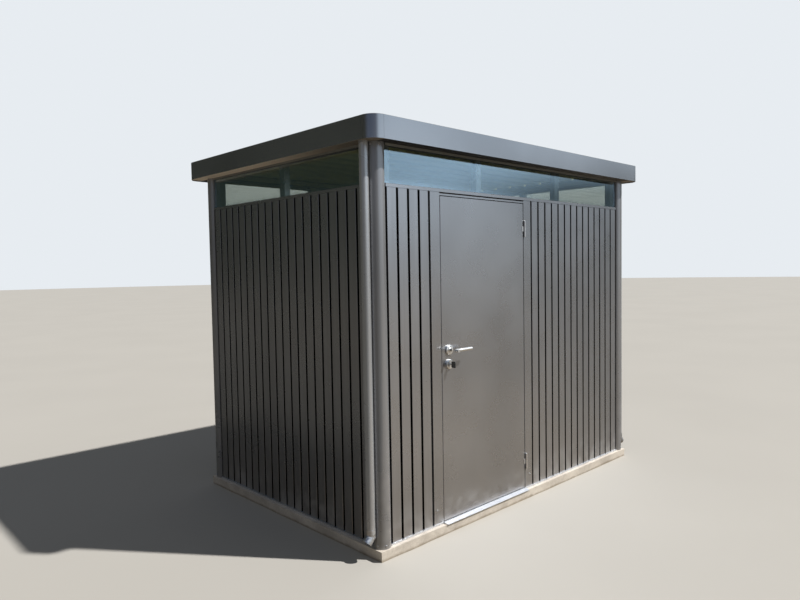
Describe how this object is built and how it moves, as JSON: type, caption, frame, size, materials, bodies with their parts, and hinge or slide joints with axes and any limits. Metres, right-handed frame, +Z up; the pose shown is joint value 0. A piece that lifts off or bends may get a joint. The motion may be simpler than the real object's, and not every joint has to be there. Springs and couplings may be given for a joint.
{
  "type": "metal tool shed",
  "caption": "Flat-roofed garden tool shed of ribbed painted metal sheets on a concrete plinth, with a glazed strip under the roof and a hinged door with lever and lock.",
  "frame": {"origin": "ground level under the middle of the roof", "axes": "+X to the right along the front wall, +Y from the door towards the back, +Z up"},
  "size_m": [2.75, 1.95, 2.265],
  "materials": {
    "painted_sheet": "satin metallic dark grey",
    "painted_frame": "satin metallic dark grey",
    "painted_roof_edge": "satin metallic dark grey",
    "painted_hinge": "satin grey",
    "bare_aluminium": "mill finish, dusty",
    "zinc_steel": "dull zinc",
    "stainless_steel": "satin",
    "black_plastic": "matt",
    "clear_glazing": "clear",
    "concrete": "rough cast concrete"
  },
  "bodies": {
    "shed": {"base_rails": "bare_aluminium", "corner_post_back_left": "painted_frame", "corner_post_back_right": "painted_frame", "corner_post_front_left": "painted_frame", "corner_post_front_right": "painted_frame", "door_head": "painted_frame", "door_jamb_left": "painted_frame", "door_jamb_right": "painted_frame", "door_threshold": "bare_aluminium", "downpipes": "painted_roof_edge", "glass_back": "clear_glazing", "glass_front": "clear_glazing", "glass_left": "clear_glazing", "glass_right": "clear_glazing", "head_rail_back": "painted_frame", "head_rail_front": "painted_frame", "head_rail_left": "painted_frame", "head_rail_right": "painted_frame", "hinge_frame_halves": "painted_hinge", "mullions": "painted_frame", "plinth": "concrete", "roof_corners": "painted_roof_edge", "roof_edge_back": "painted_roof_edge", "roof_edge_front": "painted_roof_edge", "roof_edge_left": "painted_roof_edge", "roof_edge_right": "painted_roof_edge", "roof_sheet": "painted_sheet", "shoe_outlets": "zinc_steel", "shoe_sockets": "zinc_steel", "sill_rail_back": "painted_frame", "sill_rail_front": "painted_frame", "sill_rail_left": "painted_frame", "sill_rail_right": "painted_frame", "wall_back": "painted_sheet", "wall_front_left": "painted_sheet", "wall_front_right": "painted_sheet", "wall_left": "painted_sheet", "wall_right": "painted_sheet"},
    "door": {"door_leaf": "painted_sheet", "hinge_leaf_halves": "painted_hinge", "rosettes": "stainless_steel"},
    "handle": {"door_handle": "stainless_steel"},
    "key": {"lock_plug": "stainless_steel", "key_bow": "black_plastic"}
  },
  "joints": [
    {"name": "door_swing", "type": "hinge", "parent": "shed", "child": "door", "pos_m": [0.001, -0.8775, 0.07], "axis": [0, 0, 1], "range_deg": [0, 110]},
    {"name": "handle_turn", "type": "hinge", "parent": "door", "child": "handle", "pos_m": [-0.7345, -0.871, 1.044], "axis": [0, 1, 0], "range_deg": [0, 45], "stiffness_Nm_per_rad": 2, "springref_deg": -22.92},
    {"name": "key_turn", "type": "hinge", "parent": "door", "child": "key", "pos_m": [-0.7345, -0.871, 0.962], "axis": [0, 1, 0], "range_deg": [-90, 90]}
  ]
}
